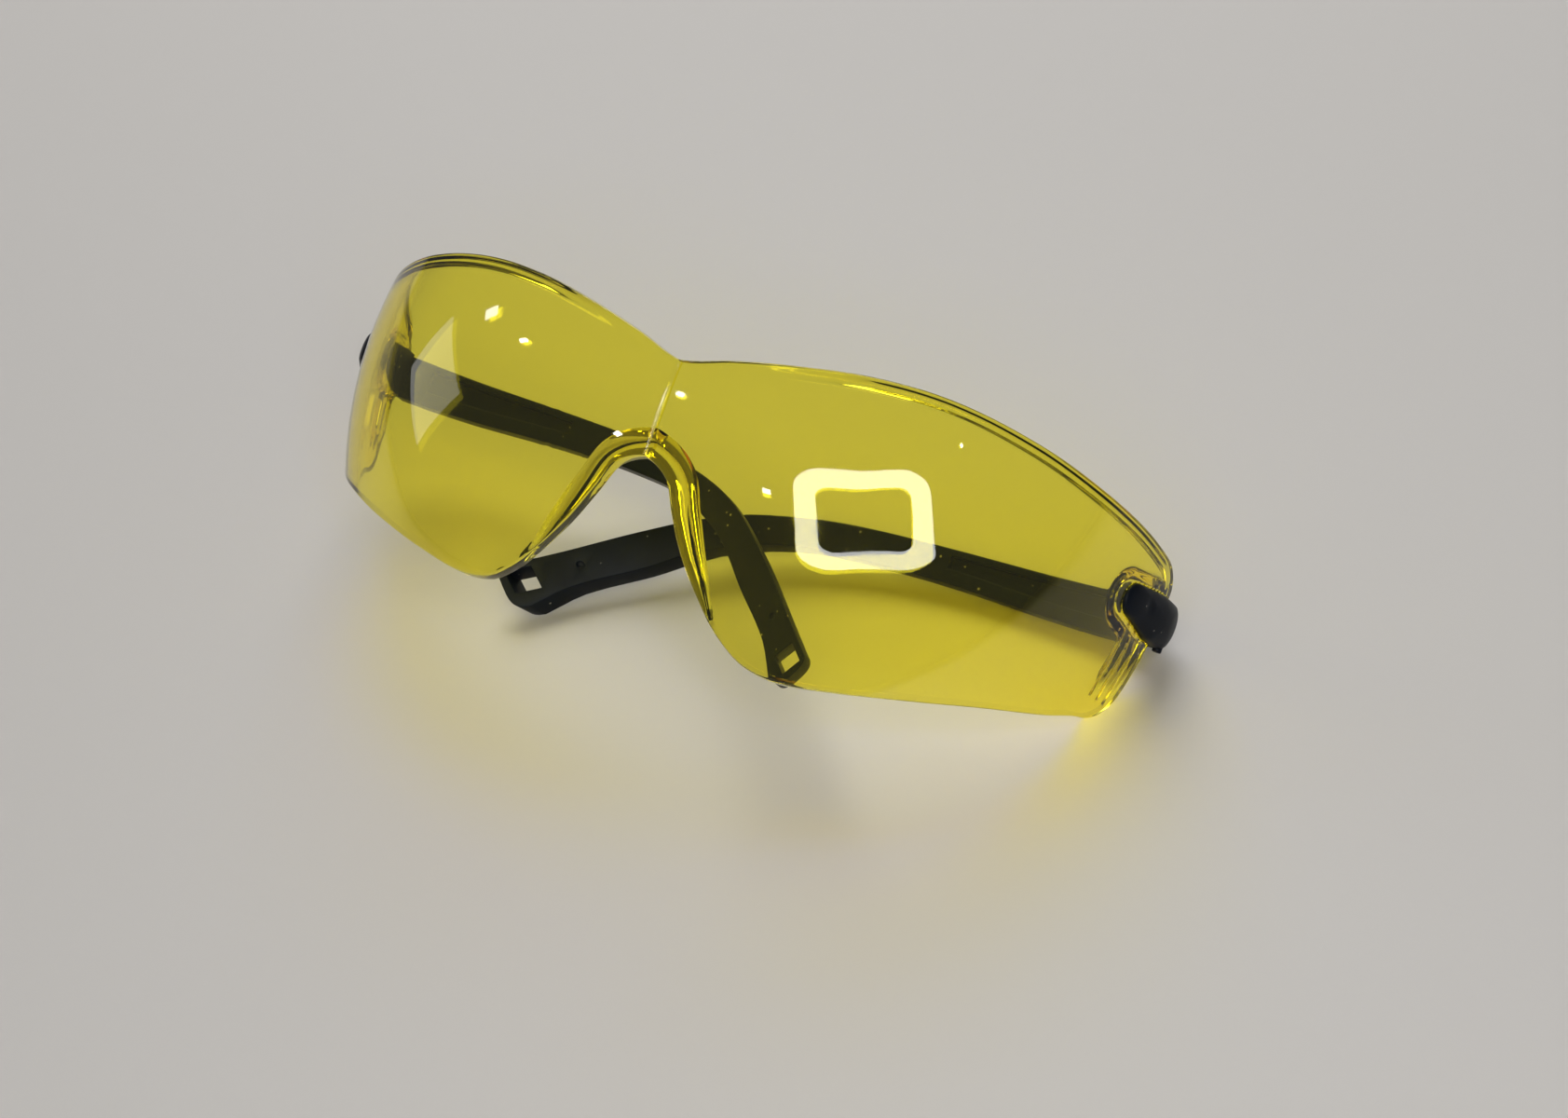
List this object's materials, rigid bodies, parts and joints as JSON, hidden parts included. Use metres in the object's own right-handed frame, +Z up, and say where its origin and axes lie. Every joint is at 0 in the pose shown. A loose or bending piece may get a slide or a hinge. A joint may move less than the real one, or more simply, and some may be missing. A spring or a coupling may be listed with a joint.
{
  "type": "shooting glasses",
  "caption": "Wraparound shooting glasses with one yellow lens and dark folding temples, lying folded on a table.",
  "frame": {"origin": "centre of the bounding box in X and Y, on the table plane Z = 0, with the glasses folded as pictured", "axes": "+Z up from the table; +X towards the wearer's left hinge; -Y is the side that the lens's top edge leans away from and its nose cut-out faces, towards the picture's viewpoint"},
  "size_m": [0.1462, 0.053, 0.0613],
  "materials": {
    "yellow_polycarbonate": "clear, polished, tinted yellow",
    "black_nylon": "satin, moulded"
  },
  "bodies": {
    "front": {"lens": "yellow_polycarbonate", "hinge_block_left": "black_nylon", "hinge_block_right": "black_nylon", "hinge_pin_left": "black_nylon", "hinge_pin_right": "black_nylon"},
    "left_temple": {"temple_left": "black_nylon"},
    "right_temple": {"temple_right": "black_nylon"}
  },
  "joints": [
    {"name": "left_temple_fold", "type": "hinge", "parent": "front", "child": "left_temple", "pos_m": [0.0709, 0.01979, 0.00574], "axis": [0.0589, 0.83, 0.5546], "range_deg": [-73.5, 0.2]},
    {"name": "right_temple_fold", "type": "hinge", "parent": "front", "child": "right_temple", "pos_m": [-0.0709, 0.01979, 0.0208], "axis": [0.0589, 0.83, 0.5546], "range_deg": [-1, 89]}
  ],
  "couplings": [
    {"joint": "right_temple_fold", "follows": "left_temple_fold", "ratio": -1.1811}
  ]
}
